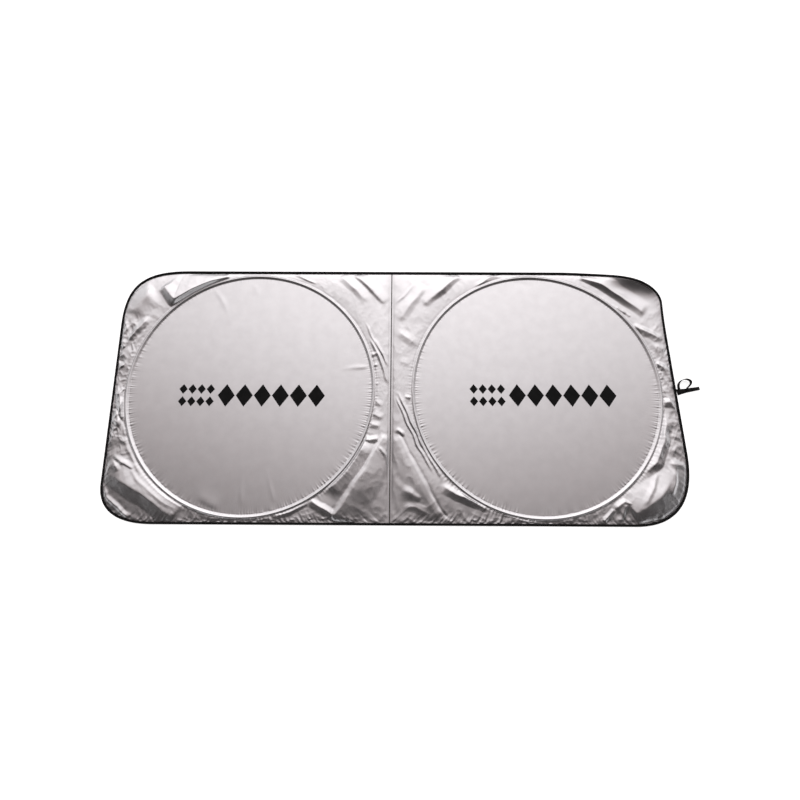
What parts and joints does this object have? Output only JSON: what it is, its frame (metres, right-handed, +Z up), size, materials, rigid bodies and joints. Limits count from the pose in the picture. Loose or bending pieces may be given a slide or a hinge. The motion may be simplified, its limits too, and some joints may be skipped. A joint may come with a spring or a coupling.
{
  "type": "folding windscreen sunshade",
  "caption": "Silver cloth car windscreen sunshade held open by sprung wire rings, with a black bound edge and an elastic strap.",
  "frame": {"origin": "middle of the shade on the surface that it lies on, at the pressed allowance of the middle seam", "axes": "+X along the shade towards the strap, +Y to the upper edge in the picture, +Z up out of the silver face"},
  "size_m": [1.3574, 0.599, 0.0143],
  "materials": {
    "silver_cloth": "silver coated polyester cloth, satin metallic",
    "spring_steel": "plain spring wire",
    "ferrule_steel": "crimped sleeve",
    "channel_tape": "grey polyester tape",
    "black_binding": "black polyester binding tape",
    "black_elastic": "black woven elastic"
  },
  "bodies": {
    "root": {"left_fabric_panel": "silver_cloth", "left_spring_ring": "spring_steel", "left_ring_ferrule": "ferrule_steel", "left_channel_tape": "channel_tape", "right_fabric_panel": "silver_cloth", "right_spring_ring": "spring_steel", "right_ring_ferrule": "ferrule_steel", "right_channel_tape": "channel_tape", "edge_binding": "black_binding", "elastic_strap": "black_elastic"}
  },
  "joints": []
}
